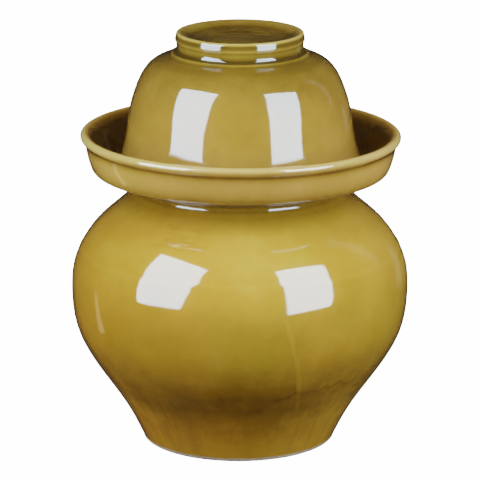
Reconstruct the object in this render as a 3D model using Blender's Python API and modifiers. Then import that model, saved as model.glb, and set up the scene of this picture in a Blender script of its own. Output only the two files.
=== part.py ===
"""Water-sealed ceramic pickling crock: a jar with a moat round its neck, a bowl-shaped outer lid
that stands in the moat, an inner lid with a button knob, and a weight split into two half-moons.

Metres, +Z up. The origin is the centre of the jar's foot, on the plane that it stands on.
A turned piece is one closed outline of (radius, height) points, swept round +Z by a Screw
modifier. Outlines are written in millimetres, and run down the outer side of their piece.
"""

import math

import bpy
import numpy as np

MM = 0.001
SEGMENTS = 40  # facets round a turned piece
REST_GAP = 0.3  # air between two pieces that rest on each other

# Jar, outside. Stations run from the collar under the moat down to the foot.
COLLAR_RADIUS = 62.2
BELLY_RADIUS = 100.0
JAR_OUTSIDE = [
    (COLLAR_RADIUS, 155.4),
    (COLLAR_RADIUS, 153.4),
    (65.4, 149.5),
    (69.6, 145.2),
    (74.9, 140.4),
    (83.3, 133.0),
    (92.7, 121.0),
    (98.9, 106.0),
    (BELLY_RADIUS, 92.0),
    (97.1, 70.0),
    (83.5, 45.0),
    (66.6, 20.0),
    (57.5, 1.8),
]
FOOT_OUTER = 56.0
FOOT_INNER = 46.5
FOOT_EDGE = 1.4
FOOT_RECESS = 3.0

# Jar, inside
WALL = 6.0
FLOOR_HEIGHT = 8.0
FLOOR_RADIUS = 46.0
FLOOR_BEND_TOP = 16.0
INNER_SHOULDER_TOP = 138.0
MOUTH_RADIUS = 47.5
THROAT = [(59.5, 141.6), (51.5, 147.5), (MOUTH_RADIUS, 157.0)]

# Neck and moat
NECK_OUTER = 53.5
NECK_TOP = 192.0
NECK_EDGE = 2.2
NECK_BEND = 5.0
MOAT_FLOOR = 163.5
MOAT_FLOOR_RADIUS = 75.0
MOAT_BEND = 6.0
BEAD = [
    (85.0, 180.0),
    (86.3, 183.2),
    (88.4, 185.7),
    (91.2, 186.8),
    (92.9, 186.4),
    (94.2, 184.0),
    (94.1, 182.6),
    (93.3, 181.0),
]
MOAT_OUTSIDE = [(91.5, 179.8), (91.2, 178.4), (89.6, 171.0), (88.4, 166.4), (87.0, 163.9), (84.0, 162.3)]
MOAT_UNDERSIDE = [(78.0, 159.9), (70.0, 157.4), (64.2, 156.7)]

# Outer lid: an upturned bowl whose foot ring is the handle
LID_WALL = 5.8
LID_OUTSIDE = [
    (39.9, 234.6),
    (40.6, 233.8),
    (43.4, 232.1),
    (51.8, 228.0),
    (57.2, 222.0),
    (61.0, 214.0),
    (64.2, 204.0),
    (68.6, 180.0),
    (72.6, 166.6),
]
LID_RIM_RADIUS = 70.2
LID_RIM_HALF_WIDTH = 0.6
LID_RIM_EDGE = 2.4
LID_INSIDE_TOP = 226.0
RING_TOP = 246.1
RING_EDGE = 1.4
RING_EDGE_RADIUS = 35.8  # of the circle that the edge's centre lies on
RING_SIDE = [(37.9, 242.0), (37.4, 240.7), (36.7, 238.6), (36.9, 237.4), (37.6, 236.2), (39.4, 235.0)]
RING_RECESS = [(26.6, 242.4), (28.8, 243.2), (30.6, 244.6), (33.0, 245.6)]
RING_RECESS_FLOOR = 242.2
RING_HOLLOW = [(36.5, 227.4), (33.0, 229.2), (30.6, 232.4), (27.0, 235.8), (22.0, 236.4)]

# Inner lid
INNER_LID_SEAT = NECK_TOP + REST_GAP
INNER_LID_RADIUS = 53.0
INNER_LID_EDGE = 2.0
INNER_LID_RIM_TOP = INNER_LID_SEAT + 4.4
INNER_LID_CROWN = 2.0  # rise from the rim to the foot of the knob's fillet
KNOB_RADII = (10.5, 4.6)
KNOB_CENTRE = INNER_LID_SEAT + 14.9
KNOB_STEM = 6.5
SPIGOT_CLEARANCE = 2.1
SPIGOT_WALL = 3.8
SPIGOT_DEPTH = 6.0
SPIGOT_CHAMFER = 1.2

# Weight
WEIGHT_CLEARANCE = 3.5  # from the weight's rim to the mouth that it passes through
WEIGHT_THICKNESS = 14.0
WEIGHT_SPLIT = 3.0
WEIGHT_EDGE = 1.5
FINGER_HOLE_RADIUS = 9.0
FINGER_HOLE_OFFSET = 20.0

GLAZE_COLOUR = (0.40, 0.27, 0.055)
BISCUIT_COLOUR = (0.56, 0.47, 0.35)


def clear_scene():
    for leftover in list(bpy.data.objects):
        bpy.data.objects.remove(leftover)


def make_material(name, colour, roughness):
    material = bpy.data.materials.new(name)
    material.use_nodes = True
    shader = material.node_tree.nodes["Principled BSDF"]
    shader.inputs["Base Color"].default_value = (*colour, 1.0)
    shader.inputs["Roughness"].default_value = roughness
    shader.inputs["Metallic"].default_value = 0.0
    return material


def smooth(stations, per_span=2):
    """Natural cubic spline through the stations, with per_span points for each span between two."""
    points = np.array(stations)
    spans = np.linalg.norm(np.diff(points, axis=0), axis=1)
    last = len(spans)
    system = np.eye(last + 1)
    right = np.zeros((last + 1, 2))
    for i in range(1, last):
        system[i, i - 1 : i + 2] = (spans[i - 1], 2.0 * (spans[i - 1] + spans[i]), spans[i])
        slope_before = (points[i] - points[i - 1]) / spans[i - 1]
        slope_after = (points[i + 1] - points[i]) / spans[i]
        right[i] = 6.0 * (slope_after - slope_before)
    bends = np.linalg.solve(system, right)
    curve = []
    for i, span in enumerate(spans):
        for share in np.arange(per_span) / per_span:
            back = 1.0 - share
            chord = points[i] * back + points[i + 1] * share
            bow = bends[i] * (back**3 - back) + bends[i + 1] * (share**3 - share)
            curve.append(tuple(chord + bow * span**2 / 6.0))
    return curve + [tuple(points[-1])]


def arc(centre, radii, start, end, count):
    """Points on an ellipse's arc, from start to end degrees, both ends included."""
    return [
        (centre[0] + radii[0] * math.cos(angle), centre[1] + radii[1] * math.sin(angle))
        for angle in np.radians(np.linspace(start, end, count))
    ]


def fillet(centre, radius, start, end):
    return arc(centre, (radius, radius), start, end, 3)


def inside_of(outside, wall, lowest, highest):
    """The wall's inner side between two heights, from an outside that runs down. It runs up."""
    path = np.array(outside)
    along = np.gradient(path, axis=0)
    along /= np.linalg.norm(along, axis=1)[:, None]
    inward = np.column_stack([along[:, 1], -along[:, 0]])
    side = [tuple(point) for point in path + wall * inward if lowest < point[1] < highest]
    return side[::-1]


def turned(name, outline, material, collection):
    mesh = bpy.data.meshes.new(name)
    corners = [(radius * MM, 0.0, height * MM) for radius, height in outline]
    mesh.from_pydata(corners, [(i, i + 1) for i in range(len(corners) - 1)], [])
    mesh.materials.append(material)
    piece = bpy.data.objects.new(name, mesh)
    collection.objects.link(piece)
    screw = piece.modifiers.new("Turn", "SCREW")
    screw.axis = "Z"
    screw.angle = math.tau
    screw.steps = SEGMENTS
    screw.render_steps = SEGMENTS
    screw.use_merge_vertices = True
    screw.merge_threshold = 0.00001
    screw.use_smooth_shade = True
    return piece


def jar_inside():
    """From the middle of the floor up the wall, and in to the mouth under the neck."""
    belly = inside_of(smooth(JAR_OUTSIDE), WALL, FLOOR_BEND_TOP, INNER_SHOULDER_TOP)
    throat = smooth(belly[-1:] + THROAT)
    return [(0.0, FLOOR_HEIGHT), (FLOOR_RADIUS, FLOOR_HEIGHT)] + belly + throat[1:]


def neck_and_moat():
    """Up the mouth, over the neck's rim, down into the moat, and out over the moat's rolled rim."""
    rim = NECK_TOP - NECK_EDGE
    return (
        fillet((MOUTH_RADIUS + NECK_EDGE, rim), NECK_EDGE, 180, 90)
        + fillet((NECK_OUTER - NECK_EDGE, rim), NECK_EDGE, 90, 0)
        + fillet((NECK_OUTER + NECK_BEND, MOAT_FLOOR + NECK_BEND), NECK_BEND, 180, 270)
        + fillet((MOAT_FLOOR_RADIUS, MOAT_FLOOR + MOAT_BEND), MOAT_BEND, 270, 350)
        + BEAD
        + MOAT_OUTSIDE
        + MOAT_UNDERSIDE
    )


def jar_foot():
    """The rounded foot, the flat ring that the jar stands on, and the shallow recess inside it."""
    return fillet((FOOT_OUTER, FOOT_EDGE), FOOT_EDGE, -20, -90) + [
        (FOOT_INNER, 0.0),
        (FOOT_INNER - FOOT_RECESS, FOOT_RECESS),
        (0.0, FOOT_RECESS),
    ]


def make_jar(material, collection):
    outline = jar_inside() + neck_and_moat() + smooth(JAR_OUTSIDE) + jar_foot()
    return turned("jar", outline, material, collection)


def lid_foot_ring():
    """The recess inside the foot ring, the ring's rounded top, and its barrelled and waisted side."""
    top_edge = fillet((RING_EDGE_RADIUS, RING_TOP - RING_EDGE), RING_EDGE, 90, 25)
    return [(0.0, RING_RECESS_FLOOR)] + RING_RECESS + top_edge + RING_SIDE


def lid_rim():
    """The rounded rim that stands on the moat's floor."""
    height = MOAT_FLOOR + REST_GAP + LID_RIM_EDGE
    outer = (LID_RIM_RADIUS + LID_RIM_HALF_WIDTH, height)
    inner = (LID_RIM_RADIUS - LID_RIM_HALF_WIDTH, height)
    return fillet(outer, LID_RIM_EDGE, -10, -90) + fillet(inner, LID_RIM_EDGE, -90, -170)


def lid_inside():
    """From above the rim up the dome, and into the shallow hollow under the foot ring."""
    lowest = MOAT_FLOOR + 2.0 * LID_RIM_EDGE
    dome = inside_of(smooth(LID_OUTSIDE), LID_WALL, lowest, LID_INSIDE_TOP)
    return dome + RING_HOLLOW + [(0.0, RING_HOLLOW[-1][1])]


def make_outer_lid(material, collection):
    outline = lid_foot_ring() + smooth(LID_OUTSIDE) + lid_rim() + lid_inside()
    return turned("outer_lid", outline, material, collection)


def make_inner_lid(material, collection):
    """A slightly domed disc with a button knob, and a spigot that drops into the mouth."""
    crown = INNER_LID_RIM_TOP + INNER_LID_CROWN
    knob = arc((0.0, KNOB_CENTRE), KNOB_RADII, 90, -35, 7) + [
        (KNOB_STEM, KNOB_CENTRE - KNOB_RADII[1]),
        (KNOB_STEM + 1.2, crown + 2.4),
        (KNOB_STEM + 5.0, crown + 1.0),
        (INNER_LID_RADIUS * 0.57, crown),
    ]
    rim_centre = (INNER_LID_RADIUS - INNER_LID_EDGE, INNER_LID_RIM_TOP - INNER_LID_EDGE)
    rim = fillet(rim_centre, INNER_LID_EDGE, 90, 0) + [
        (INNER_LID_RADIUS, INNER_LID_SEAT + SPIGOT_CHAMFER),
        (INNER_LID_RADIUS - SPIGOT_CHAMFER, INNER_LID_SEAT),
    ]
    outer = MOUTH_RADIUS - SPIGOT_CLEARANCE
    inner = outer - SPIGOT_WALL
    bottom = INNER_LID_SEAT - SPIGOT_DEPTH
    spigot = [
        (outer, INNER_LID_SEAT),
        (outer, bottom + SPIGOT_CHAMFER),
        (outer - SPIGOT_CHAMFER, bottom),
        (inner + SPIGOT_CHAMFER, bottom),
        (inner, bottom + SPIGOT_CHAMFER),
        (inner - SPIGOT_CHAMFER, INNER_LID_SEAT + 0.4),
        (0.0, INNER_LID_SEAT + INNER_LID_CROWN),
    ]
    return turned("inner_lid", knob + rim + spigot, material, collection)


def add_outline(curve, points):
    spline = curve.splines.new("POLY")
    spline.points.add(len(points) - 1)
    for corner, (x, y) in zip(spline.points, points):
        corner.co = (x * MM, y * MM, 0.0, 1.0)
    spline.use_cyclic_u = True


def make_weight_half(name, side, material, collection):
    """A half-moon with a finger hole. side is -1 for the half at -X and 1 for the half at +X."""
    curve = bpy.data.curves.new(name, "CURVE")
    curve.dimensions = "2D"
    curve.fill_mode = "BOTH"
    curve.extrude = (WEIGHT_THICKNESS / 2.0 - WEIGHT_EDGE) * MM
    curve.bevel_depth = WEIGHT_EDGE * MM
    curve.bevel_resolution = 1
    radius = MOUTH_RADIUS - WEIGHT_CLEARANCE - WEIGHT_EDGE
    straight = WEIGHT_SPLIT / 2.0 + WEIGHT_EDGE
    reach = math.degrees(math.acos(straight / radius))
    half_moon = arc((0.0, 0.0), (radius, radius), -reach, reach, 19)
    hole_radius = FINGER_HOLE_RADIUS + WEIGHT_EDGE
    hole = arc((FINGER_HOLE_OFFSET, 0.0), (hole_radius, hole_radius), 0, 345, 24)
    add_outline(curve, [(side * x, y) for x, y in half_moon])
    add_outline(curve, [(side * x, y) for x, y in hole])
    curve.materials.append(material)
    piece = bpy.data.objects.new(name, curve)
    collection.objects.link(piece)
    piece.location.z = (FLOOR_HEIGHT + REST_GAP + WEIGHT_THICKNESS / 2.0) * MM
    return piece


def build():
    clear_scene()
    collection = bpy.data.collections.new("water_sealed_crock")
    bpy.context.scene.collection.children.link(collection)
    glaze = make_material("amber_glaze", GLAZE_COLOUR, 0.08)
    biscuit = make_material("bare_stoneware", BISCUIT_COLOUR, 0.75)
    make_jar(glaze, collection)
    make_outer_lid(glaze, collection)
    make_inner_lid(glaze, collection)
    make_weight_half("weight_half_left", -1, biscuit, collection)
    make_weight_half("weight_half_right", 1, biscuit, collection)


build()
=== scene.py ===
"""Looks of the water-sealed pickling crock: each CAD node is replaced by a finely turned piece of
the same shape, in a glossy amber glaze that ran and pooled in the kiln, or in bare stoneware.

Outlines are closed (radius, height) lists that run down the outer side of their piece. Their
unit is a hundredth of the belly's radius, which is read from the frame.
"""

import math

import bpy
import numpy as np
from mathutils import Matrix, Vector


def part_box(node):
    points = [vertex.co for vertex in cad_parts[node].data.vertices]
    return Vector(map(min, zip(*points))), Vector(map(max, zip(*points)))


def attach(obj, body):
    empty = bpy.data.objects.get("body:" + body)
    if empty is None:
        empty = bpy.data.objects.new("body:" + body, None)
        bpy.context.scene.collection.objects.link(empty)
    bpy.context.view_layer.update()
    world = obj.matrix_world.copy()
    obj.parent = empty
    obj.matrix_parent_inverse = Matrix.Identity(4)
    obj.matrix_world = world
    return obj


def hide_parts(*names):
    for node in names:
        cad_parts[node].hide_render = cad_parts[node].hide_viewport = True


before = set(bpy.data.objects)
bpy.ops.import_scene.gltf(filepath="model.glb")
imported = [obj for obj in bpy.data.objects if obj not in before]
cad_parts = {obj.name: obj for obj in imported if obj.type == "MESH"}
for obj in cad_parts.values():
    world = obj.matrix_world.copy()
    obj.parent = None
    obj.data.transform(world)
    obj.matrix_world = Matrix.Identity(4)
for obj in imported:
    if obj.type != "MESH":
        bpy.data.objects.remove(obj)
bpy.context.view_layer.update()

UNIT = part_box("jar")[1].x / 100.0
REST_GAP = 0.3  # between pieces that rest on each other

# Steps round a turned piece, and lengths along its outline
LATHE_STEPS = 224
STEP_LENGTH = 1.0
FINE_STEP = 0.4  # on the bead and the ring
ARC_STEP = 0.4
LONGEST_STEP = 1.5
SAME_POINT = 0.02  # points closer than this count as one
ON_AXIS = 0.001  # a ring smaller than this is one point

# Heights that pieces share, from the frame
NECK_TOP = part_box("jar")[1].z / UNIT
LID_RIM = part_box("outer_lid")[0].z / UNIT
RING_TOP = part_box("outer_lid")[1].z / UNIT
INNER_LID_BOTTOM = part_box("inner_lid")[0].z / UNIT
KNOB_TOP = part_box("inner_lid")[1].z / UNIT
INNER_LID_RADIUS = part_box("inner_lid")[1].x / UNIT
WEIGHT_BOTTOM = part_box("weight_half_right")[0].z / UNIT
WEIGHT_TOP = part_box("weight_half_right")[1].z / UNIT
WEIGHT_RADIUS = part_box("weight_half_right")[1].x / UNIT
WEIGHT_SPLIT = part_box("weight_half_right")[0].x / UNIT * 2.0

# Jar
JAR_OUTSIDE = [
    (62.4, 156.4),
    (62.2, 155.4),
    (62.15, 154.0),
    (62.35, 152.9),
    (63.1, 151.9),
    (65.4, 149.5),
    (69.6, 145.2),
    (74.9, 140.4),
    (83.3, 133.0),
    (92.7, 121.0),
    (98.9, 106.0),
    (100.0, 92.0),
    (97.1, 70.0),
    (83.8, 45.0),
    (66.9, 20.0),
    (57.5, 1.8),
]
THROWING_RIDGE = (117.3, 0.15, 1.8)  # height, size and half-width
WALL = 6.0
WALL_FROM = 18.0  # between these heights the inner side follows the outer one
WALL_TO = 138.6
FLOOR_HEIGHT = 8.0
FLOOR_BEND = [(0.0, FLOOR_HEIGHT), (46.0, FLOOR_HEIGHT), (52.5, 10.8), (57.6, 17.0)]
FLOOR_JOIN = 3  # points of the belly's inner side that the floor's curve takes over
THROAT = [(59.5, 141.6), (51.5, 147.5), (47.5, 157.0)]
MOUTH_RADIUS = 47.5
NECK_OUTER = 53.5
NECK_EDGE = 2.2
NECK_BEND = 5.0
MOAT_FLOOR = LID_RIM - REST_GAP
MOAT_FLOOR_RADIUS = 75.0
MOAT_BEND = 6.0
BEAD = [
    (85.0, 180.0),
    (86.3, 183.2),
    (88.4, 185.7),
    (91.2, 186.8),
    (92.9, 186.5),
    (93.9, 185.6),
    (94.2, 184.7),
    (94.0, 183.6),
    (93.2, 182.4),
    (92.2, 181.5),
]
MOAT_WALL = [
    (91.6, 180.7),
    (91.3, 179.2),
    (89.8, 172.0),
    (88.4, 167.4),
    (86.9, 164.5),
    (84.2, 162.9),
    (78.0, 160.4),
    (70.0, 157.8),
    (64.2, 157.1),
]
FOOT_OUTER = 56.0
FOOT_INNER = 46.5
FOOT_EDGE = 1.4
FOOT_RECESS = 3.0
FOOT_FLARE = -20  # degrees, where the foot's rounded edge starts

# Outer lid
LID_OUTSIDE = [
    (39.9, 234.1),
    (40.6, 233.4),
    (43.4, 231.9),
    (51.8, 228.0),
    (57.2, 222.0),
    (61.0, 214.0),
    (64.2, 204.0),
    (68.6, 180.0),
    (72.6, 166.6),
]
LID_WALL = 5.8
LID_WALL_TOP = 226.0
LID_RIM_RADIUS = 70.2
LID_RIM_FLAT = 0.6  # half the width of the rim's flat underside
LID_RIM_EDGE = 2.4
RING_RECESS = [
    (0.0, 242.2),
    (14.0, 242.2),
    (26.6, 242.4),
    (28.8, 243.2),
    (30.6, 244.6),
    (33.0, 245.6),
    (35.4, 246.0),
]
RING_EDGE = 1.4
RING_EDGE_RADIUS = 36.1
RING_BAND = [(37.65, 244.4), (37.95, 243.0), (38.1, 242.0), (38.0, 241.4), (37.7, 240.9)]
RING_FOOT = [
    (37.5, 240.4),
    (37.35, 239.2),
    (37.2, 237.6),
    (37.2, 236.5),
    (37.5, 235.4),
    (38.2, 234.6),
    (39.4, 234.2),
]
RING_HOLLOW = [(36.5, 227.6), (33.0, 229.4), (30.6, 232.4), (27.0, 235.6), (22.0, 236.4), (0.0, 236.4)]

# Inner lid
KNOB_RADIUS = 10.5
KNOB_HALF_HEIGHT = 4.6
KNOB_UNDER = 4.2  # from the knob's middle down to where its stem starts
DISC_RISE = [(6.6, 4.0), (8.6, 1.6), (16.0, 0.4), (30.0, 0.0)]  # radius, height over the disc's top
DISC_THICKNESS = 6.4
DISC_TOP_EDGE = 2.0
DISC_SHOULDER = 4.0  # from the disc's top down to the centre of its rounded edge
SPIGOT_GAP = 2.1
SPIGOT_WALL = 3.8
SPIGOT_EDGE = 1.2
HOLLOW_EDGE = (5.0, 0.4)  # in from the spigot's outside, and over the disc's underside
HOLLOW_MIDDLE = 2.0  # over the disc's underside, on the axis

# Weight halves
WEIGHT_EDGE = 1.5
FINGER_HOLE_RADIUS = 9.0
FINGER_HOLE_OFFSET = 20.0
FINGER_HOLE_END = 356  # degrees, from where the curve closes itself

# The thrower's and the kiln's unevenness
OUT_OF_ROUND = 0.08
# Waves that make up the unevenness: share, number round the piece, and twist with height
WANDER = [(0.40, 2.0, 0.021), (0.28, 3.0, -0.034), (0.20, 5.0, 0.052), (0.12, 11.0, 0.087)]
MARK_PITCH = 6.5
MARK_DEPTH = 0.012
MARK_FADING = 0.4
MARK_TWIST = 0.11
ROUNDED_FROM = 30.0  # radius below which the unevenness fades out towards the axis
LEAN = 0.9  # how far the foot stands to one side
LEAN_TOP = 110.0  # the lean starts below this height
LEAN_POWER = 1.3
SAG_OUTWARD = 0.8
SAG_DOWN = 1.3
SAG_SPREAD = 1.5
SAG_FLOOR = MOAT_FLOOR - 8.0  # nothing below this height sags

# Camera: its tilt, distance and aim put the crock where the photograph has it
CAMERA_ELEVATION = math.radians(15.15)
CAMERA_DISTANCE = 2037.0 * UNIT
CAMERA_AIM = 119.64 * UNIT
CAMERA_LENS = 257.1

# Colours of the glaze from thin to thick, tints that multiply them, and bare clay
GLAZE_STOPS = [
    (0.00, (0.68, 0.48, 0.10)),
    (0.25, (0.595, 0.335, 0.051)),
    (0.50, (0.415, 0.228, 0.024)),
    (0.75, (0.21, 0.103, 0.007)),
    (1.00, (0.072, 0.036, 0.003)),
]
CLAY_STOPS = [(0.25, (0.22, 0.165, 0.105)), (0.55, (0.33, 0.26, 0.175)), (0.80, (0.42, 0.35, 0.25))]
GREENER = (0.86, 1.0, 0.76, 1.0)
UPPER_TINT = (0.99, 1.01, 1.7, 1.0)
TOP_TINT = (1.0, 1.16, 1.25, 1.0)
FOOT_TINT = (1.03, 0.93, 0.78, 1.0)
# Darker and warmer on the left of the body
LEFT_SIDE_TINT = (0.94, 0.83, 0.70, 1.0)
PIT_COLOUR = (0.05, 0.03, 0.01, 1.0)
SPECK_COLOUR = (0.06, 0.035, 0.02, 1.0)

# Where each tint comes in, as a coordinate in metres where it starts and where it is full
UPPER_TINT_HEIGHTS = (0.158, 0.168)
TOP_TINT_HEIGHTS = (0.205, 0.235)
FOOT_TINT_HEIGHTS = (0.045, 0.015)
LEFT_SIDE_ACROSS = (0.02, -0.09)
LEFT_SIDE_HEIGHTS = (0.16, 0.13)
GREENER_FROM = (0.35, 0.65)  # values of its noise, not metres
GREENER_SHARE = 0.45

# Change in glaze thickness that each unevenness makes, and the painted shade where a surface turns
# edge-on
UNEVEN_GLAZE = 0.04
MOTTLE = 0.16
FINE_MOTTLE = 0.05
STREAKS = 0.12
DRIP_THINNING = 0.07
CURTAIN_DEPTH = 0.08
CREASES_DEPTH = 0.11
# Painted shade: the glaze is drawn thick, so dark, where a surface turns edge-on, as a dark rim round the
# outline
EDGE_SHADE_DEPTH = 1.3
EDGE_SHADE_POWER = 12.0

# Noises: cells to a metre, detail and roughness
MOTTLE_NOISE = (38.0, 5.0, 0.55)
FINE_MOTTLE_NOISE = (170.0, 3.0, 0.6)
STREAK_NOISE = (420.0, 3.0, 0.6)
CREASE_NOISE = (420.0, 1.0, 0.5)
GREENER_NOISE = (21.0, 3.0, 0.5)
WAVE_NOISE = (3.2, 4.0, 0.6)  # cells to the jar's radius
GRAIN_NOISE = (900.0, 4.0, 0.7)
GLAZE_EDGE_NOISE = (260.0, 3.0, 0.5)
WEAR_NOISE = (60.0, 6.0, 0.65)
SLOW_NOISE = (34.0, 2.0, 0.5)
PEEL_NOISE = (330.0, 2.0, 0.5)
STONEWARE_GRAIN_NOISE = (700.0, 5.0, 0.7)
STONEWARE_BLOTCH_NOISE = (40.0, 3.0, 0.5)
STONEWARE_WEAR_NOISE = (90.0, 4.0, 0.5)

# Depths of relief, in metres
SLOW_RELIEF = 0.00018
DRIP_RELIEF = 0.00025
CREASE_RELIEF = 0.00004
STREAK_RELIEF = 0.00012
PEEL_RELIEF = 0.0000035
PIT_RELIEF = 0.00004
CLAY_RELIEF = 0.00025
STONEWARE_RELIEF = 0.00030

# Pits in the glaze and iron specks in the clay: cells to a metre, share of cells without one, size
PITS = (190.0, 0.93, 0.055)
PIT_SHARE = 0.55
SPECKS = (420.0, 0.86, 0.16)
SPECK_SHARE = 0.7

# Roughness and refraction
GLAZE_ROUGHNESS = 0.045
WORN_ROUGHNESS = 0.05
UNDERSIDE_ROUGHNESS = 0.3
UNDERSIDE_FACING = (-0.55, -0.85)  # upward part of the normal where the dullness starts and is full
CLAY_ROUGHNESS = 0.82
STONEWARE_ROUGHNESS = (0.72, 0.92)
GLAZE_IOR = 1.5

# How much noise moves the edge between glaze and clay, and the colour of bare clay
GLAZE_EDGE_WANDER = 0.45
STONEWARE_BLOTCHES = 0.2

# Glaze that ran on the jar, in metres and radians round from the front
DRIP_TOP = 0.101
DRIP_TOP_EASE = 0.93
DRIP_BOTTOM = 0.030
DRIP_BOTTOM_EASE = 1.3
DRIP_ANGLE = 0.533
DRIP_LEAN = -2.72  # radians round for each metre up
DRIP_WIDTH = 0.026
DRIP_CORE = 0.35  # share of the width that has the full run
STREAK_WIDTH = 0.08
STREAK_LENGTH = 0.10
STREAK_HEIGHTS = (0.07, 0.02)
STREAK_ANGLES = (0.2, 0.8)
STREAK_FRONT_SHARE = 0.2
CREASES_ANGLE = -0.47
CREASES_ANGLES = (0.28, 0.08)
CREASES_HEIGHT = 0.139
CREASES_HEIGHTS = (0.008, 0.003)
CREASE_STRETCH = 0.012
CREASE_FROM = (0.42, 0.62)  # values of its noise
CURTAIN_HEIGHT = 0.050
CURTAIN_WAVES = 0.016
CURTAIN_EDGE = 0.0015
CURTAIN_FADE = 0.005
CURTAIN_START = 0.20
CURTAIN_START_EASE = 1.5
CURTAIN_END = 0.95
CURTAIN_END_EASE = 0.8

# How a bend of the outline gathers or thins the glaze, and how far along the outline
POOL_WIDTH = 0.8
POOL_HOLLOW = 0.9
POOL_EDGE = 0.7

# Change in the jar's glaze depth at the sides and back from the front: height, spread, change. At the
# waist it is painted light and shade, paler at the sides and back and darker at the front; on the
# shoulder it is thicker glaze at the sides and back
FRONT_SHADE_AND_GLAZE = [(37.0, 17.0, -0.52), (136.0, 14.0, 0.13)]

# Glaze thickness by height, from 0 for thin to 1 for thick. On the jar and the outer lid some values also
# carry painted shade and painted light, as noted at each table
# On the jar, the thicker glaze from 147 to 166 is partly glaze pooled in the hollow under the moat and
# partly painted shade under its overhang; the darker band under the bead, from 179 to 184, is partly
# glaze that ran off its top and partly painted shade of its underside
JAR_GLAZE_AND_SHADE = [
    (0.0, 0.50),
    (12.0, 0.58),
    (26.0, 0.71),
    (37.0, 0.90),
    (46.0, 0.88),
    (58.0, 0.70),
    (76.0, 0.50),
    (92.0, 0.40),
    (110.0, 0.30),
    (128.0, 0.18),
    (141.0, 0.24),
    (147.0, 0.44),
    (149.5, 0.54),
    (152.0, 0.44),
    (154.4, 0.34),
    (156.2, 0.46),
    (157.4, 0.86),
    (163.8, 0.86),
    (166.0, 0.67),
    (168.0, 0.46),
    (171.0, 0.34),
    (175.0, 0.29),
    (177.0, 0.33),
    (179.4, 0.51),
    (181.2, 0.58),
    (183.0, 0.52),
    (184.4, 0.38),
    (186.8, 0.22),
]
# In the moat the glaze pooled thick, and the values past 1 also paint the shade that the lid casts into
# the moat
MOAT_GLAZE_AND_SHADE = [(163.0, 1.12), (182.5, 1.05), (185.0, 0.95), (186.3, 0.78), (186.8, 0.50)]
NECK_GLAZE = 0.7
NECK_GLAZE_REACH = 1.0  # out from the neck's side
# On the lid, the paler glaze towards the rim, below 192, is partly thinner glaze and partly painted light
# bounced up from the moat
LID_GLAZE_AND_BOUNCE = [
    (163.0, 0.32),
    (178.0, 0.38),
    (192.0, 0.48),
    (204.0, 0.51),
    (214.0, 0.56),
    (224.0, 0.70),
    (231.0, 0.78),
    (233.2, 0.74),
    (234.6, 0.74),
    (235.6, 0.72),
    (237.0, 0.62),
    (240.0, 0.62),
    (241.0, 0.52),
    (242.4, 0.92),
    (244.4, 0.94),
    (245.5, 0.58),
    (246.1, 0.54),
]
RECESS_GLAZE = [(242.2, 0.80), (243.4, 0.80), (245.0, 0.80), (245.7, 0.66), (246.1, 0.56)]
INSIDE_GLAZE = 0.78
INNER_LID_GLAZE = 0.42

# Heights up to which the clay is bare, and how softly the glaze ends
BARE_FOOT = 2.3
BARE_LID_RIM = 1.2  # over the lid's rim
BARE_SPIGOT = 1.4  # over the neck's top
BARE_EDGE = 0.5

# Studio, in metres: each softbox's corners from its top left, as seen from the crock
SOFTBOXES = {
    "left_softbox": [
        (-0.273, -0.077, 0.416),
        (-0.20, -0.38, 0.60),
        (-0.345, -0.46, 0.118),
        (-0.40, -0.186, 0.102),
    ],
    "right_softbox": [
        (0.30, -0.50, 0.76),
        (0.52, -0.18, 0.575),
        (0.56, -0.345, 0.088),
        (0.342, -0.608, 0.067),
    ],
}
FAINT_SHEETS = {  # corners, radiance and colour of what the glaze mirrors only faintly
    "right_strip": (
        [(0.377, 0.302, 0.203), (0.340, 0.348, 0.153), (0.347, 0.327, -0.007), (0.421, 0.254, 0.02)],
        0.27,
        (1.0, 0.90, 0.80, 1.0),
    ),
    "right_card": (
        [(0.344, 0.097, 0.511), (0.483, 0.209, 0.268), (0.51, 0.155, 0.262), (0.357, 0.027, 0.517)],
        0.6,
        (1.0, 0.88, 0.82, 1.0),
    ),
    "left_card": (
        [(-0.444, 0.112, 0.055), (-0.448, 0.102, 0.06), (-0.421, 0.06, -0.084), (-0.403, 0.109, -0.091)],
        2.0,
        (1.0, 0.66, 0.36, 1.0),
    ),
}
LIGHT_AIM = 0.13  # height that every lamp faces
SEEN_RADIANCE = 31.0
SHEET_COLOUR = (0.64, 0.83, 1.0, 1.0)
LIT_RADIANCE = {"left_softbox": 4.0, "right_softbox": 5.1}
LAMPS = {  # place, size and radiance
    "ceiling_lamp": ((0.0, -0.8, 1.7), 1.6, 1.85),
    "bounce_lamp": ((0.0, -0.5, -0.7), 1.4, 0.2),
    "left_bounce_lamp": ((-0.6, 0.3, -0.8), 0.9, 4.0),
    "right_bounce_lamp": ((0.6, 0.3, -0.8), 0.9, 3.0),
    "back_lamp": ((0.0, 1.3, 0.5), 1.2, 2.2),
}
STUDIO_GLOW = 0.025
STUDIO_COLOUR = (0.96, 0.98, 1.0, 1.0)
FLOOR_COLOUR = (0.85, 0.85, 0.84, 1.0)
FLOOR_GLOW_COLOUR = (1.0, 1.0, 0.99, 1.0)
FLOOR_GLOW = 12.0
FLOOR_ROUGHNESS = 0.9
FLOOR_REACH = 5.0
FLOOR_CURVE = 1.5
FLOOR_STEPS = 96
FLOOR_CURVE_STEPS = 12
BACKDROP_HEIGHT = 6.0


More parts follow.
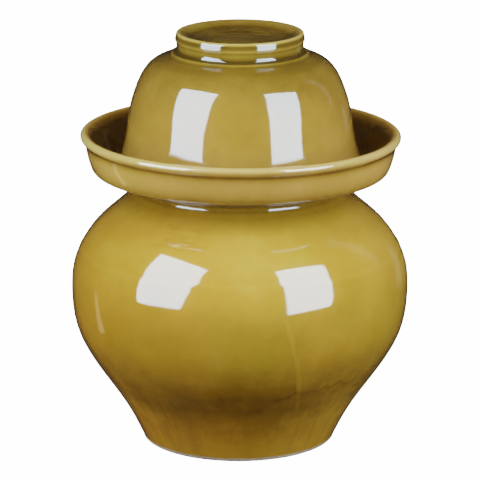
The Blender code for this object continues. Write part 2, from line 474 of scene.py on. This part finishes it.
def spline(stations, step=STEP_LENGTH):
    """Natural cubic spline through the stations, as points about a step apart."""
    points = np.array(stations, float)
    spans = np.linalg.norm(np.diff(points, axis=0), axis=1)
    last = len(spans)
    system = np.eye(last + 1)
    right = np.zeros((last + 1, 2))
    for i in range(1, last):
        system[i, i - 1 : i + 2] = (spans[i - 1], 2.0 * (spans[i - 1] + spans[i]), spans[i])
        slope_before = (points[i] - points[i - 1]) / spans[i - 1]
        slope_after = (points[i + 1] - points[i]) / spans[i]
        right[i] = 6.0 * (slope_after - slope_before)
    bends = np.linalg.solve(system, right)
    curve = []
    for i, span in enumerate(spans):
        steps = max(1, round(span / step))
        for share in np.arange(steps) / steps:
            back = 1.0 - share
            chord = points[i] * back + points[i + 1] * share
            bow = bends[i] * (back**3 - back) + bends[i + 1] * (share**3 - share)
            curve.append(chord + bow * span**2 / 6.0)
    return np.array(curve + [points[-1]])


def arc(centre, radii, start, end):
    """An ellipse's arc from start to end degrees, with finer steps than a spline's."""
    length = abs(math.radians(end - start)) * max(radii)
    angles = np.radians(np.linspace(start, end, max(5, round(length / ARC_STEP))))
    return np.column_stack([centre[0] + radii[0] * np.cos(angles), centre[1] + radii[1] * np.sin(angles)])


def fillet(centre, radius, start, end):
    return arc(centre, (radius, radius), start, end)


def inside_of(outside, wall, lowest, highest):
    """The wall's inner side between two heights, from an outside that runs down. It runs up."""
    along = np.gradient(outside, axis=0)
    along /= np.linalg.norm(along, axis=1)[:, None]
    side = outside + wall * np.column_stack([along[:, 1], -along[:, 0]])
    return side[(side[:, 1] > lowest) & (side[:, 1] < highest)][::-1]


def filled(outline):
    """The outline without doubled points, and with points added so that no step is long."""
    points = [outline[0]]
    for end in outline[1:]:
        start = points[-1]
        length = np.linalg.norm(end - start)
        if length < SAME_POINT:
            continue
        steps = max(1, round(length / LONGEST_STEP))
        points += [start + (end - start) * i / steps for i in range(1, steps + 1)]
    return np.array(points)


def jar_outline():
    """Up the inside from the middle of the floor, over the neck and the moat, and down the outside."""
    outside = spline(JAR_OUTSIDE)
    ridge_height, ridge_size, ridge_width = THROWING_RIDGE
    outside[:, 0] += ridge_size * np.exp(-(((outside[:, 1] - ridge_height) / ridge_width) ** 2))
    belly = inside_of(outside, WALL, WALL_FROM, WALL_TO)
    floor = spline(FLOOR_BEND + [tuple(belly[0]), tuple(belly[FLOOR_JOIN])])
    throat = spline([tuple(belly[-1])] + THROAT)
    rim = NECK_TOP - NECK_EDGE
    neck = np.vstack([
        fillet((MOUTH_RADIUS + NECK_EDGE, rim), NECK_EDGE, 180, 90),
        fillet((NECK_OUTER - NECK_EDGE, rim), NECK_EDGE, 90, 0),
    ])
    moat = np.vstack([
        fillet((NECK_OUTER + NECK_BEND, MOAT_FLOOR + NECK_BEND), NECK_BEND, 180, 270),
        fillet((MOAT_FLOOR_RADIUS, MOAT_FLOOR + MOAT_BEND), MOAT_BEND, 270, 350),
        spline(BEAD, FINE_STEP),
        spline(MOAT_WALL),
    ])
    foot = np.vstack([
        fillet((FOOT_OUTER, FOOT_EDGE), FOOT_EDGE, FOOT_FLARE, -90),
        [(FOOT_INNER, 0.0), (FOOT_INNER - FOOT_RECESS, FOOT_RECESS), (0.0, FOOT_RECESS)],
    ])
    belly = belly[FLOOR_JOIN + 1 :]
    return filled(np.vstack([floor[:-1], belly, throat[1:], neck, moat, outside, foot]))


def outer_lid_outline():
    """From the recess in the foot ring down the dome, round the rim, and up the inside."""
    ring_edge = (RING_EDGE_RADIUS, RING_TOP - RING_EDGE)
    rim_height = LID_RIM + LID_RIM_EDGE
    dome = spline(LID_OUTSIDE)
    return filled(np.vstack([
        spline(RING_RECESS),
        fillet(ring_edge, RING_EDGE, 95, 25),
        spline(RING_BAND, FINE_STEP),
        spline(RING_FOOT, FINE_STEP),
        dome,
        fillet((LID_RIM_RADIUS + LID_RIM_FLAT, rim_height), LID_RIM_EDGE, -10, -90),
        fillet((LID_RIM_RADIUS - LID_RIM_FLAT, rim_height), LID_RIM_EDGE, -90, -170),
        inside_of(dome, LID_WALL, LID_RIM + 2.0 * LID_RIM_EDGE, LID_WALL_TOP),
        spline(RING_HOLLOW),
    ]))


def inner_lid_outline():
    """From the top of the knob over the disc, round its rim, and along the spigot underneath."""
    rim_bottom = NECK_TOP + REST_GAP
    crown = rim_bottom + DISC_THICKNESS
    knob_centre = KNOB_TOP - KNOB_HALF_HEIGHT
    spigot = MOUTH_RADIUS - SPIGOT_GAP
    corner = SPIGOT_EDGE
    stem = [(DISC_RISE[0][0], knob_centre - KNOB_UNDER)]
    return filled(np.vstack([
        arc((0.0, knob_centre), (KNOB_RADIUS, KNOB_HALF_HEIGHT), 90, -45),
        spline(stem + [(radius, crown + rise) for radius, rise in DISC_RISE]),
        fillet((INNER_LID_RADIUS - DISC_TOP_EDGE, crown - DISC_SHOULDER), DISC_TOP_EDGE, 90, 0),
        fillet((INNER_LID_RADIUS - corner, rim_bottom + corner), corner, 0, -90),
        fillet((spigot - corner, INNER_LID_BOTTOM + corner), corner, 0, -90),
        fillet((spigot - SPIGOT_WALL + corner, INNER_LID_BOTTOM + corner), corner, -90, -180),
        [(spigot - HOLLOW_EDGE[0], rim_bottom + HOLLOW_EDGE[1]), (0.0, rim_bottom + HOLLOW_MIDDLE)],
    ]))


def pooling(outline):
    """How much glaze gathers at each point: more in a hollow of the outline, less on a sharp edge."""
    steps = np.diff(outline, axis=0)
    lengths = np.linalg.norm(steps, axis=1)
    headings = np.unwrap(np.arctan2(steps[:, 1], steps[:, 0]))
    places = np.concatenate([[0.0], np.cumsum(lengths)])
    turns = np.zeros(len(outline))
    turns[1:-1] = np.diff(headings)
    gaps = places[:, None] - places[None, :]
    weights = np.exp(-0.5 * (gaps / POOL_WIDTH) ** 2)
    bend = weights @ turns / (POOL_WIDTH * math.sqrt(math.tau))
    return np.where(bend > 0.0, POOL_HOLLOW * bend, POOL_EDGE * bend)


def wander(angles, heights, seed):
    """A slow unevenness from -1 to 1 round and up a turned piece."""
    phases = np.random.default_rng(seed).uniform(0.0, math.tau, len(WANDER))
    total = 0.0
    for (share, waves, twist), phase in zip(WANDER, phases):
        total = total + share * np.sin(waves * angles + twist * heights + phase)
    return total


def throwing_marks(angles, heights, seed):
    """The faint spiral that the thrower's fingers left, in outline units."""
    phase = np.random.default_rng(seed).uniform(0.0, math.tau)
    spiral = np.sin(math.tau * heights / MARK_PITCH + angles + phase)
    uneven = 1.0 - MARK_FADING + MARK_FADING * np.sin(2.0 * angles + MARK_TWIST * heights + phase)
    return MARK_DEPTH * spiral * uneven


def sag(angles, radii, heights):
    """How far the moat's rim sank in the kiln, towards +X, as (outward, down) in outline units."""
    towards = (0.5 + 0.5 * np.cos(angles)) ** SAG_SPREAD
    start = MOAT_WALL[-1][0]
    reach = np.clip((radii - start) / (BEAD[3][0] - start), 0.0, 1.0)
    share = towards * reach**2 * (heights > SAG_FLOOR)
    return SAG_OUTWARD * share, SAG_DOWN * share


def lean(heights):
    """How far the foot stands off to one side of the rest, along X in outline units."""
    return -LEAN * np.clip(1.0 - heights / LEAN_TOP, 0.0, 1.0) ** LEAN_POWER


def front_shade_and_glaze(angles, heights):
    """The change in glaze depth from the front of the jar to its sides and back: painted light and shade
    at the waist, thicker glaze on the shoulder.
    """
    turned_away = 1.0 - np.clip(-np.sin(angles), 0.0, 1.0)
    change = np.zeros_like(heights)
    for middle, spread, shift in FRONT_SHADE_AND_GLAZE:
        change += shift * np.exp(-(((heights - middle) / spread) ** 2))
    return turned_away * change


def turned(name, outline, glaze, bare, seed, fired_soft=False):
    """A piece turned from its outline, with glaze thickness and bareness as point attributes. On the jar
    and the outer lid the thickness also carries painted shade and light.
    """
    radii, heights = outline[:, 0], outline[:, 1]
    angles = np.arange(LATHE_STEPS) * math.tau / LATHE_STEPS
    ring_heights = heights[:, None] + 0.0 * angles
    uneven = wander(angles[None, :], ring_heights, seed)
    marks = throwing_marks(angles[None, :], ring_heights, seed)
    settled = np.clip(radii / ROUNDED_FROM, 0.0, 1.0)[:, None]
    ring_radii = radii[:, None] + settled * (OUT_OF_ROUND * uneven + marks)
    depth = glaze[:, None] + UNEVEN_GLAZE * uneven
    sideways = np.zeros_like(ring_heights)
    if fired_soft:
        sideways = lean(ring_heights)
        # Painted light and shade: the jar's waist is paler at the sides and back than at the front
        depth += front_shade_and_glaze(angles[None, :], ring_heights)
        outward, down = sag(angles[None, :], radii[:, None], ring_heights)
        ring_radii = ring_radii + outward
        ring_heights = ring_heights - down
    corners = np.stack([
        ring_radii * np.cos(angles) + sideways,
        ring_radii * np.sin(angles),
        ring_heights,
    ], axis=2)
    rings = len(outline)
    index = np.arange(rings * LATHE_STEPS).reshape(rings, LATHE_STEPS)
    on_axis = radii < ON_AXIS
    index[on_axis] = index[on_axis, :1]
    beside = np.roll(index, -1, axis=1)
    quads = np.stack([index[:-1], index[1:], beside[1:], beside[:-1]], axis=2)
    faces = [list(dict.fromkeys(quad)) for quad in quads.reshape(-1, 4).tolist()]
    used = np.unique(np.concatenate(faces))
    place = np.full(rings * LATHE_STEPS, -1)
    place[used] = np.arange(len(used))
    mesh = bpy.data.meshes.new(name)
    points = corners.reshape(-1, 3)[used] * UNIT
    mesh.from_pydata(points.tolist(), [], [[int(place[i]) for i in face] for face in faces])
    mesh.shade_smooth()
    # The glaze attribute also carries the painted shade and light folded into the thickness
    for label, values in (("glaze", depth), ("bare", bare[:, None] + 0.0 * angles)):
        layer = mesh.attributes.new(label, "FLOAT", "POINT")
        layer.data.foreach_set("value", values.reshape(-1)[used].astype(np.float32))
    piece = bpy.data.objects.new(name, mesh)
    bpy.context.scene.collection.objects.link(piece)
    return piece


def jar_glaze_and_shade(outline):
    """Thin on the shoulder, thick in the waist where it ran to, and dark inside, with painted shade under
    the moat's overhang, under the bead and in the moat under the lid.
    """
    radii, heights = outline[:, 0], outline[:, 1]
    order = np.arange(len(outline))
    neck = heights.argmax()
    crest = np.where(radii > MOAT_FLOOR_RADIUS, heights, 0.0).argmax()
    moat = (order > neck) & (order < crest)
    depth = np.interp(heights, *zip(*JAR_GLAZE_AND_SHADE))
    depth[moat] = np.interp(heights[moat], *zip(*MOAT_GLAZE_AND_SHADE))
    depth[moat & (radii < NECK_OUTER + NECK_GLAZE_REACH)] = NECK_GLAZE
    depth[order <= neck] = INSIDE_GLAZE
    return depth + pooling(outline)


def bare_below(end, heights):
    """1 where the clay is bare, and 0 above the height where the glaze ends softly."""
    return np.clip((end - heights) / BARE_EDGE + 0.5, 0.0, 1.0)


def jar_bareness(outline):
    """The foot was wiped clean, so that the jar didn't stick to the kiln shelf."""
    radii, heights = outline[:, 0], outline[:, 1]
    order = np.arange(len(outline))
    bare = np.where(order > radii.argmax(), bare_below(BARE_FOOT, heights), 0.0)
    bare[(order > heights.argmin()) & (radii < FOOT_INNER)] = 1.0
    return bare


def make_jar():
    outline = jar_outline()
    bare = jar_bareness(outline)
    return turned("jar_glazed", outline, jar_glaze_and_shade(outline), bare, seed=3, fired_soft=True)


def make_outer_lid():
    outline = outer_lid_outline()
    lowest = outline[:, 1].argmin()
    outside = np.arange(len(outline)) < lowest
    # The outside's depth carries painted bounce light near the rim
    depth = np.where(outside, np.interp(outline[:, 1], *zip(*LID_GLAZE_AND_BOUNCE)), INSIDE_GLAZE)
    recess = outside & (outline[:, 0] < RING_RECESS[-1][0])
    depth[recess] = np.interp(outline[recess, 1], *zip(*RECESS_GLAZE))
    bare = bare_below(LID_RIM + BARE_LID_RIM, outline[:, 1])
    return turned("outer_lid_glazed", outline, depth + pooling(outline), bare, seed=7)


def make_inner_lid():
    outline = inner_lid_outline()
    bare = np.where(outline[:, 1] < NECK_TOP + BARE_SPIGOT, 1.0, 0.0)
    depth = INNER_LID_GLAZE + pooling(outline)
    return turned("inner_lid_glazed", outline, depth, bare, seed=11)


def make_weight_half(name, side):
    """A half-moon of bare stoneware with a finger hole, cut out of a flat slab."""
    curve = bpy.data.curves.new(name, "CURVE")
    curve.dimensions = "2D"
    curve.fill_mode = "BOTH"
    curve.extrude = ((WEIGHT_TOP - WEIGHT_BOTTOM) / 2.0 - WEIGHT_EDGE) * UNIT
    curve.bevel_depth = WEIGHT_EDGE * UNIT
    curve.bevel_resolution = 4
    radius = WEIGHT_RADIUS - WEIGHT_EDGE
    straight = WEIGHT_SPLIT / 2.0 + WEIGHT_EDGE
    reach = math.degrees(math.acos(straight / radius))
    half_moon = arc((0.0, 0.0), (radius, radius), -reach, reach)
    hole_radius = FINGER_HOLE_RADIUS + WEIGHT_EDGE
    hole = arc((FINGER_HOLE_OFFSET, 0.0), (hole_radius, hole_radius), 0, FINGER_HOLE_END)
    for edge in (half_moon, hole):
        path = curve.splines.new("POLY")
        path.points.add(len(edge) - 1)
        for corner, (x, y) in zip(path.points, edge):
            corner.co = (side * x * UNIT, y * UNIT, 0.0, 1.0)
        path.use_cyclic_u = True
    slab = bpy.data.objects.new(name, curve)
    mesh = bpy.data.meshes.new_from_object(slab)
    bpy.data.objects.remove(slab)
    mesh.transform(Matrix.Translation((0.0, 0.0, (WEIGHT_BOTTOM + WEIGHT_TOP) / 2.0 * UNIT)))
    piece = bpy.data.objects.new(name, mesh)
    bpy.context.scene.collection.objects.link(piece)
    return piece


class Shader:
    """A material's nodes, made in short calls that return the new node's first output."""

    def __init__(self, name):
        self.material = bpy.data.materials.new(name)
        self.material.use_nodes = True
        self.nodes = self.material.node_tree.nodes
        self.links = self.material.node_tree.links
        self.surface = self.nodes["Principled BSDF"]

    def node(self, kind, inputs=(), **settings):
        made = self.nodes.new("ShaderNode" + kind)
        for key, value in settings.items():
            setattr(made, key, value)
        for key, value in dict(inputs).items():
            self.put(made.inputs[key], value)
        return made

    def put(self, socket, value):
        if isinstance(value, bpy.types.NodeSocket):
            self.links.new(value, socket)
        else:
            socket.default_value = value

    def maths(self, operation, first, second=0.0, clamp=False):
        return self.node("Math", {0: first, 1: second}, operation=operation, use_clamp=clamp).outputs[0]

    def noise(self, vector, scale, detail, roughness):
        inputs = {"Vector": vector, "Scale": scale, "Detail": detail, "Roughness": roughness}
        return self.node("TexNoise", inputs).outputs["Fac"]

    def centred(self, value, amount):
        """A noise value spread evenly round nought, by amount either way."""
        return self.maths("MULTIPLY", self.maths("SUBTRACT", value, 0.5), 2.0 * amount)

    def ramp(self, value, stops):
        made = self.node("ValToRGB", {"Fac": value})
        points = made.color_ramp.elements
        while len(points) < len(stops):
            points.new(1.0)
        for point, (place, colour) in zip(points, stops):
            point.position = place
            point.color = (*colour, 1.0)
        return made.outputs["Color"]

    def blend(self, share, first, second, kind="MIX"):
        """A mix of two colours. The node's sockets go by number, because several share a name."""
        inputs = {0: share, 6: first, 7: second}
        return self.node("Mix", inputs, data_type="RGBA", blend_type=kind).outputs[2]

    def between(self, share, first, second):
        """A mix of two values, with the same node."""
        return self.node("Mix", {0: share, 2: first, 3: second}, data_type="FLOAT").outputs[0]

    def bump(self, height, distance, under=None):
        made = self.node("Bump", {"Height": height, "Strength": 1.0, "Distance": distance})
        if under is not None:
            self.put(made.inputs["Normal"], under)
        return made.outputs["Normal"]


def way_out(shader, place):
    """The level direction from the axis to a place, so that it changes only round the piece."""
    flat = shader.node("VectorMath", {0: place, 1: (1.0, 1.0, 0.0)}, operation="MULTIPLY").outputs[0]
    return shader.node("VectorMath", {0: flat}, operation="NORMALIZE").outputs[0]


def streaked(shader, place):
    """A place for noise that gives upright streaks all round a turned piece."""
    out = way_out(shader, place)
    upright = shader.node("VectorMath", {0: place, 1: (0.0, 0.0, 1.0)}, operation="MULTIPLY").outputs[0]
    wide = shader.node("VectorMath", {0: out, "Scale": STREAK_WIDTH}, operation="SCALE").outputs[0]
    tall = shader.node("VectorMath", {0: upright, "Scale": STREAK_LENGTH}, operation="SCALE").outputs[0]
    return shader.node("VectorMath", {0: wide, 1: tall}, operation="ADD").outputs[0]


def eased(shader, value, start, end):
    """From 0 at start to 1 at end, easing in and out."""
    inputs = {"Value": value, "From Min": start, "From Max": end}
    return shader.node("MapRange", inputs, interpolation_type="SMOOTHSTEP").outputs["Result"]


def drip(shader, angle, height):
    """One run of glaze down the front of the jar, as a share from 0 beside it to 1 on it."""
    middle = shader.maths("ADD", shader.maths("MULTIPLY", height, DRIP_LEAN), DRIP_ANGLE)
    away = shader.maths("ABSOLUTE", shader.maths("SUBTRACT", angle, middle))
    across = eased(shader, away, DRIP_WIDTH, DRIP_CORE * DRIP_WIDTH)
    started = eased(shader, height, DRIP_TOP, DRIP_TOP_EASE * DRIP_TOP)
    ended = eased(shader, height, DRIP_BOTTOM, DRIP_BOTTOM_EASE * DRIP_BOTTOM)
    return shader.maths("MULTIPLY", across, shader.maths("MULTIPLY", started, ended))


def curtain(shader, place, angle, height):
    """The wavy edge where the upper glaze stopped running, on the right of the front."""
    wave = shader.centred(shader.noise(way_out(shader, place), *WAVE_NOISE), CURTAIN_WAVES)
    below = shader.maths("SUBTRACT", shader.maths("ADD", wave, CURTAIN_HEIGHT), height)
    upper = eased(shader, below, 0.0, CURTAIN_EDGE)
    lower = eased(shader, below, CURTAIN_FADE, CURTAIN_EDGE)
    edge = shader.maths("MULTIPLY", upper, lower)
    started = eased(shader, angle, CURTAIN_START, CURTAIN_START_EASE * CURTAIN_START)
    ended = eased(shader, angle, CURTAIN_END, CURTAIN_END_EASE * CURTAIN_END)
    return shader.maths("MULTIPLY", edge, shader.maths("MULTIPLY", started, ended))


def creases(shader, angle, height):
    """A patch of fine level creases in the glaze on the left of the shoulder."""
    round_jar = shader.maths("MULTIPLY", angle, CREASE_STRETCH)
    place = shader.node("CombineXYZ", {"X": round_jar, "Z": height}).outputs[0]
    lines = eased(shader, shader.noise(place, *CREASE_NOISE), *CREASE_FROM)
    sideways = shader.maths("ABSOLUTE", shader.maths("SUBTRACT", angle, CREASES_ANGLE))
    upwards = shader.maths("ABSOLUTE", shader.maths("SUBTRACT", height, CREASES_HEIGHT))
    near = eased(shader, sideways, *CREASES_ANGLES)
    level = eased(shader, upwards, *CREASES_HEIGHTS)
    return shader.maths("MULTIPLY", lines, shader.maths("MULTIPLY", near, level))


def scattered(shader, place, scale, rarity, size):
    """Small round spots, 1 on a spot and 0 elsewhere, in the few cells that have one."""
    cells = shader.node("TexVoronoi", {"Vector": place, "Scale": scale})
    lot = shader.node("SeparateColor", {0: cells.outputs["Color"]}).outputs[0]
    few = shader.maths("GREATER_THAN", lot, rarity)
    return shader.maths("MULTIPLY", shader.maths("LESS_THAN", cells.outputs["Distance"], size), few)


def glaze_and_shade_depth(shader, place, angle, height, brushed, run, lines):
    """The glaze's thickness: the piece's own, every unevenness added to it, and painted shade where the
    surface turns edge-on.
    """
    depth = shader.node("Attribute", attribute_name="glaze").outputs["Fac"]
    mottle = shader.centred(shader.noise(place, *MOTTLE_NOISE), MOTTLE)
    fine = shader.centred(shader.noise(place, *FINE_MOTTLE_NOISE), FINE_MOTTLE)
    beside = eased(shader, shader.maths("ABSOLUTE", angle), *STREAK_ANGLES)
    near_foot = eased(shader, height, *STREAK_HEIGHTS)
    streaks = shader.maths("MULTIPLY", shader.centred(brushed, STREAKS), near_foot)
    streaks = shader.maths("MULTIPLY", streaks, shader.between(beside, STREAK_FRONT_SHARE, 1.0))
    # Painted shade: a dark rim where the surface turns edge-on
    facing = shader.node("LayerWeight", {"Blend": 0.5}).outputs["Facing"]
    edge_shade = shader.maths("MULTIPLY", shader.maths("POWER", facing, EDGE_SHADE_POWER), EDGE_SHADE_DEPTH)
    thinned = shader.maths("MULTIPLY", run, -DRIP_THINNING)
    edge = shader.maths("MULTIPLY", curtain(shader, place, angle, height), CURTAIN_DEPTH)
    gathered = shader.maths("MULTIPLY", lines, CREASES_DEPTH)
    for change in (mottle, fine, streaks, edge_shade, thinned, edge, gathered):
        depth = shader.maths("ADD", depth, change)
    return depth


def tinted(shader, colour, place, across, height):
    """The glaze's colour under its tints: the kiln's in patches, near the foot and above, and a darker,
    warmer left side of the body.
    """
    patches = eased(shader, shader.noise(place, *GREENER_NOISE), *GREENER_FROM)
    left = eased(shader, across, *LEFT_SIDE_ACROSS)
    left_side_share = shader.maths("MULTIPLY", left, eased(shader, height, *LEFT_SIDE_HEIGHTS))
    tints = (
        (shader.maths("MULTIPLY", patches, GREENER_SHARE), GREENER),
        (left_side_share, LEFT_SIDE_TINT),
        (eased(shader, height, *FOOT_TINT_HEIGHTS), FOOT_TINT),
        (eased(shader, height, *UPPER_TINT_HEIGHTS), UPPER_TINT),
        (eased(shader, height, *TOP_TINT_HEIGHTS), TOP_TINT),
    )
    for share, tint in tints:
        colour = shader.blend(share, colour, tint, "MULTIPLY")
    return colour


def glaze_roughness(shader, place, clay):
    """A glossy glaze with slight wear, duller underneath the moat, and matt bare clay."""
    worn = shader.maths("MULTIPLY", shader.noise(place, *WEAR_NOISE), WORN_ROUGHNESS)
    worn = shader.maths("ADD", worn, GLAZE_ROUGHNESS)
    normal = shader.node("NewGeometry").outputs["Normal"]
    upward = shader.node("SeparateXYZ", {0: normal}).outputs["Z"]
    dulled = shader.between(eased(shader, upward, *UNDERSIDE_FACING), worn, UNDERSIDE_ROUGHNESS)
    return shader.between(clay, dulled, CLAY_ROUGHNESS)


def amber_glaze():
    """Glossy amber glaze over clay. It is pale where thin and nearly black where thick, and its thickness
    also carries painted shade and light.
    """
    shader = Shader("amber_glaze_looks")
    place = shader.node("TexCoord").outputs["Object"]
    parts = shader.node("SeparateXYZ", {0: place}).outputs
    across, height = parts["X"], parts["Z"]
    angle = shader.maths("ARCTAN2", across, shader.maths("MULTIPLY", parts["Y"], -1.0))
    brushed = shader.noise(streaked(shader, place), *STREAK_NOISE)
    run = drip(shader, angle, height)
    lines = creases(shader, angle, height)
    colour = shader.ramp(glaze_and_shade_depth(shader, place, angle, height, brushed, run, lines), GLAZE_STOPS)
    colour = tinted(shader, colour, place, across, height)
    pits = scattered(shader, place, *PITS)
    colour = shader.blend(shader.maths("MULTIPLY", pits, PIT_SHARE), colour, PIT_COLOUR)
    bare = shader.node("Attribute", attribute_name="bare").outputs["Fac"]
    edge = shader.centred(shader.noise(place, *GLAZE_EDGE_NOISE), GLAZE_EDGE_WANDER)
    clay = shader.maths("ADD", bare, shader.maths("MULTIPLY", edge, bare), clamp=True)
    grain = shader.noise(place, *GRAIN_NOISE)
    surface = shader.surface.inputs
    shader.put(surface["Base Color"], shader.blend(clay, colour, shader.ramp(grain, CLAY_STOPS)))
    shader.put(surface["Roughness"], glaze_roughness(shader, place, clay))
    shader.put(surface["IOR"], GLAZE_IOR)
    near_foot = eased(shader, height, *STREAK_HEIGHTS)
    normal = None
    for relief, depth in (
        (shader.noise(place, *SLOW_NOISE), SLOW_RELIEF),
        (run, DRIP_RELIEF),
        (lines, CREASE_RELIEF),
        (shader.maths("MULTIPLY", brushed, near_foot), STREAK_RELIEF),
        (shader.noise(place, *PEEL_NOISE), PEEL_RELIEF),
        (shader.maths("MULTIPLY", pits, -1.0), PIT_RELIEF),
        (shader.maths("MULTIPLY", grain, clay), CLAY_RELIEF),
    ):
        normal = shader.bump(relief, depth, normal)
    shader.put(surface["Normal"], normal)
    return shader.material


def bare_stoneware():
    """Unglazed clay with iron specks and a fine open grain."""
    shader = Shader("bare_stoneware_looks")
    place = shader.node("TexCoord").outputs["Object"]
    grain = shader.noise(place, *STONEWARE_GRAIN_NOISE)
    blotches = shader.centred(shader.noise(place, *STONEWARE_BLOTCH_NOISE), STONEWARE_BLOTCHES)
    colour = shader.ramp(shader.maths("ADD", grain, blotches), CLAY_STOPS)
    specks = scattered(shader, place, *SPECKS)
    colour = shader.blend(shader.maths("MULTIPLY", specks, SPECK_SHARE), colour, SPECK_COLOUR)
    surface = shader.surface.inputs
    shader.put(surface["Base Color"], colour)
    worn = shader.noise(place, *STONEWARE_WEAR_NOISE)
    shader.put(surface["Roughness"], shader.between(worn, *STONEWARE_ROUGHNESS))
    shader.put(surface["Normal"], shader.bump(grain, STONEWARE_RELIEF))
    return shader.material


def lamp(name, place, width, height, radiance):
    """A rectangular lamp aimed at the crock. It lights surfaces, but isn't mirrored in them."""
    light = bpy.data.lights.new(name, "AREA")
    light.shape = "RECTANGLE"
    light.size = width
    light.size_y = height
    light.energy = radiance * math.pi * width * height
    holder = bpy.data.objects.new(name, light)
    holder.location = place
    holder.rotation_euler = (place - Vector((0.0, 0.0, LIGHT_AIM))).to_track_quat("Z", "Y").to_euler()
    holder.visible_camera = False
    holder.visible_glossy = False
    bpy.context.scene.collection.objects.link(holder)


def mirrored_sheet(name, corners, radiance, colour):
    """A bright four-cornered sheet that shows only as its mirror image in the glaze."""
    mesh = bpy.data.meshes.new(name)
    mesh.from_pydata(corners, [], [(0, 1, 2, 3)])
    shader = Shader(name)
    shader.put(shader.surface.inputs["Base Color"], (0.0, 0.0, 0.0, 1.0))
    shader.put(shader.surface.inputs["Emission Color"], colour)
    shader.put(shader.surface.inputs["Emission Strength"], radiance)
    mesh.materials.append(shader.material)
    sheet = bpy.data.objects.new(name, mesh)
    sheet.visible_camera = False
    sheet.visible_diffuse = False
    sheet.visible_shadow = False
    bpy.context.scene.collection.objects.link(sheet)


def softbox(name, corners):
    """A softbox as the sheet that the glaze mirrors, with a lamp of its size that gives its light."""
    mirrored_sheet(name, corners, SEEN_RADIANCE, SHEET_COLOUR)
    top_left, top_right, low_right, low_left = [Vector(corner) for corner in corners]
    centre = (top_left + top_right + low_right + low_left) / 4.0
    width = (top_right + low_right - top_left - low_left).length / 2.0
    height = (top_left + top_right - low_left - low_right).length / 2.0
    lamp(f"{name}_lamp", centre, width, height, LIT_RADIANCE[name])


def make_floor():
    """A wide pale floor that rises into a wall all round. It neither lights the crock nor shows in it."""
    profile = [(0.0, 0.0), (FLOOR_REACH, 0.0)]
    bend = np.linspace(-90.0, 0.0, FLOOR_CURVE_STEPS + 1)[1:]
    for angle in np.radians(bend):
        out = FLOOR_REACH + FLOOR_CURVE * math.cos(angle)
        profile.append((out, FLOOR_CURVE + FLOOR_CURVE * math.sin(angle)))
    profile.append((FLOOR_REACH + FLOOR_CURVE, BACKDROP_HEIGHT))
    corners = []
    for radius, height in profile:
        for step in range(FLOOR_STEPS):
            angle = math.tau * step / FLOOR_STEPS
            corners.append((radius * math.cos(angle), radius * math.sin(angle), height))
    faces = [tuple(range(FLOOR_STEPS, 2 * FLOOR_STEPS))]
    for ring in range(1, len(profile) - 1):
        low, high = ring * FLOOR_STEPS, (ring + 1) * FLOOR_STEPS
        for step in range(FLOOR_STEPS):
            beside = (step + 1) % FLOOR_STEPS
            faces.append((low + step, high + step, high + beside, low + beside))
    mesh = bpy.data.meshes.new("studio_floor")
    mesh.from_pydata(corners, [], faces)
    mesh.shade_smooth()
    shader = Shader("pale_floor")
    surface = shader.surface.inputs
    shader.put(surface["Base Color"], FLOOR_COLOUR)
    shader.put(surface["Roughness"], FLOOR_ROUGHNESS)
    shader.put(surface["Specular IOR Level"], 0.0)
    shader.put(surface["Emission Color"], FLOOR_GLOW_COLOUR)
    shader.put(surface["Emission Strength"], FLOOR_GLOW)
    mesh.materials.append(shader.material)
    floor = bpy.data.objects.new("studio_floor", mesh)
    floor.visible_diffuse = False
    floor.visible_glossy = False
    floor.visible_shadow = False
    bpy.context.scene.collection.objects.link(floor)


def make_camera():
    data = bpy.data.cameras.new("camera")
    data.lens = CAMERA_LENS
    camera = bpy.data.objects.new("camera", data)
    out = Vector((0.0, -math.cos(CAMERA_ELEVATION), math.sin(CAMERA_ELEVATION)))
    camera.location = Vector((0.0, 0.0, CAMERA_AIM)) + out * CAMERA_DISTANCE
    camera.rotation_euler = out.to_track_quat("Z", "Y").to_euler()
    bpy.context.scene.collection.objects.link(camera)
    bpy.context.scene.camera = camera


def make_surroundings():
    world = bpy.data.worlds.new("dim_studio")
    world.use_nodes = True
    background = world.node_tree.nodes["Background"]
    background.inputs["Color"].default_value = STUDIO_COLOUR
    background.inputs["Strength"].default_value = STUDIO_GLOW
    bpy.context.scene.world = world
    bpy.context.scene.view_settings.view_transform = "Filmic"
    for name, corners in SOFTBOXES.items():
        softbox(name, corners)
    for name, (corners, radiance, colour) in FAINT_SHEETS.items():
        mirrored_sheet(name, corners, radiance, colour)
    for name, (place, size, radiance) in LAMPS.items():
        lamp(name, Vector(place), size, size, radiance)
    make_floor()
    make_camera()


def dress(piece, body, node, material):
    piece.data.materials.clear()
    piece.data.materials.append(material)
    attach(piece, body)
    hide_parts(node)


def build():
    glaze = amber_glaze()
    clay = bare_stoneware()
    dress(make_jar(), "jar", "jar", glaze)
    dress(make_outer_lid(), "outer_lid", "outer_lid", glaze)
    dress(make_inner_lid(), "inner_lid", "inner_lid", glaze)
    for half, side in (("left", -1), ("right", 1)):
        weight = make_weight_half(f"weight_{half}_bare", side)
        dress(weight, f"weight_{half}", f"weight_half_{half}", clay)
    make_surroundings()


build()
